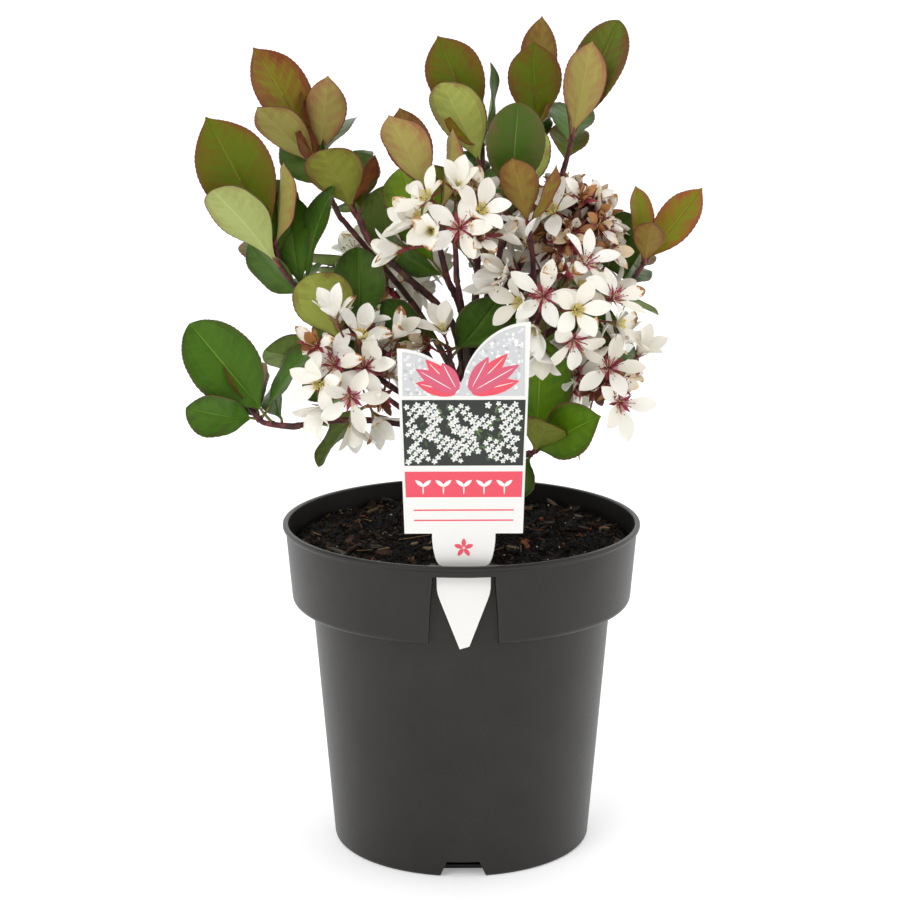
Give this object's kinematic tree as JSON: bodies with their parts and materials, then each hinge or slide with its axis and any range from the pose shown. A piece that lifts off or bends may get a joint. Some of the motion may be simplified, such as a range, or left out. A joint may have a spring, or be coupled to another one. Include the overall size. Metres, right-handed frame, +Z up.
{
  "type": "potted indian hawthorn",
  "caption": "Small evergreen shrub with leathery oval leaves and clusters of white five-petalled flowers, growing in a round black nursery pot with a plain printed plant label.",
  "frame": {"origin": "centre of the pot's flat underside, on the surface that it stands on", "axes": "+Z up along the pot's axis; -Y the front, where the label stands"},
  "size_m": [0.2665, 0.2146, 0.4369],
  "materials": {
    "pot": "satin charcoal polypropylene with fine scuffs",
    "potting_mix": "moist dark compost with bark chips",
    "label": "printed plastic card",
    "bark": "thin red-brown bark",
    "leaves": "leathery, half glossy leaves",
    "blossom": "soft white petals with crimson or yellow centres"
  },
  "bodies": {
    "root": {"pot": "pot", "potting_mix": "potting_mix", "label": "label", "trunk": "bark", "bough_upper_mid": "bark", "bough_mid": "bark", "bough_top": "bark", "bough_top_right": "bark", "bough_mid_right": "bark", "bough_top_centre": "bark", "bough_upper_left": "bark", "bough_blossom_mid": "bark", "bough_right": "bark", "bough_blossom_right": "bark", "bough_blossom_high_right": "bark", "bough_left": "bark", "bough_blossom_left": "bark", "bough_centre": "bark", "bough_low_left": "bark", "bough_blossom_low_right": "bark", "bough_low_right": "bark", "bough_back_left": "bark", "bough_back_mid": "bark", "bough_back_right": "bark", "bough_low_back_left": "bark", "bough_low_back_right": "bark", "mass_low_left": "leaves", "mass_left": "leaves", "mass_upper_left": "leaves", "mass_upper_mid": "leaves", "mass_mid": "leaves", "mass_top": "leaves", "mass_top_centre": "leaves", "mass_top_right": "leaves", "mass_mid_right": "leaves", "mass_right": "leaves", "mass_low_right": "leaves", "mass_centre": "blossom", "mass_blossom_left": "blossom", "mass_blossom_mid": "blossom", "mass_blossom_right": "blossom", "mass_blossom_high_right": "blossom", "mass_blossom_low_right": "blossom", "mass_back_left": "leaves", "mass_back_mid": "leaves", "mass_back_right": "leaves", "mass_low_back_left": "leaves", "mass_low_back_right": "leaves"}
  },
  "joints": []
}
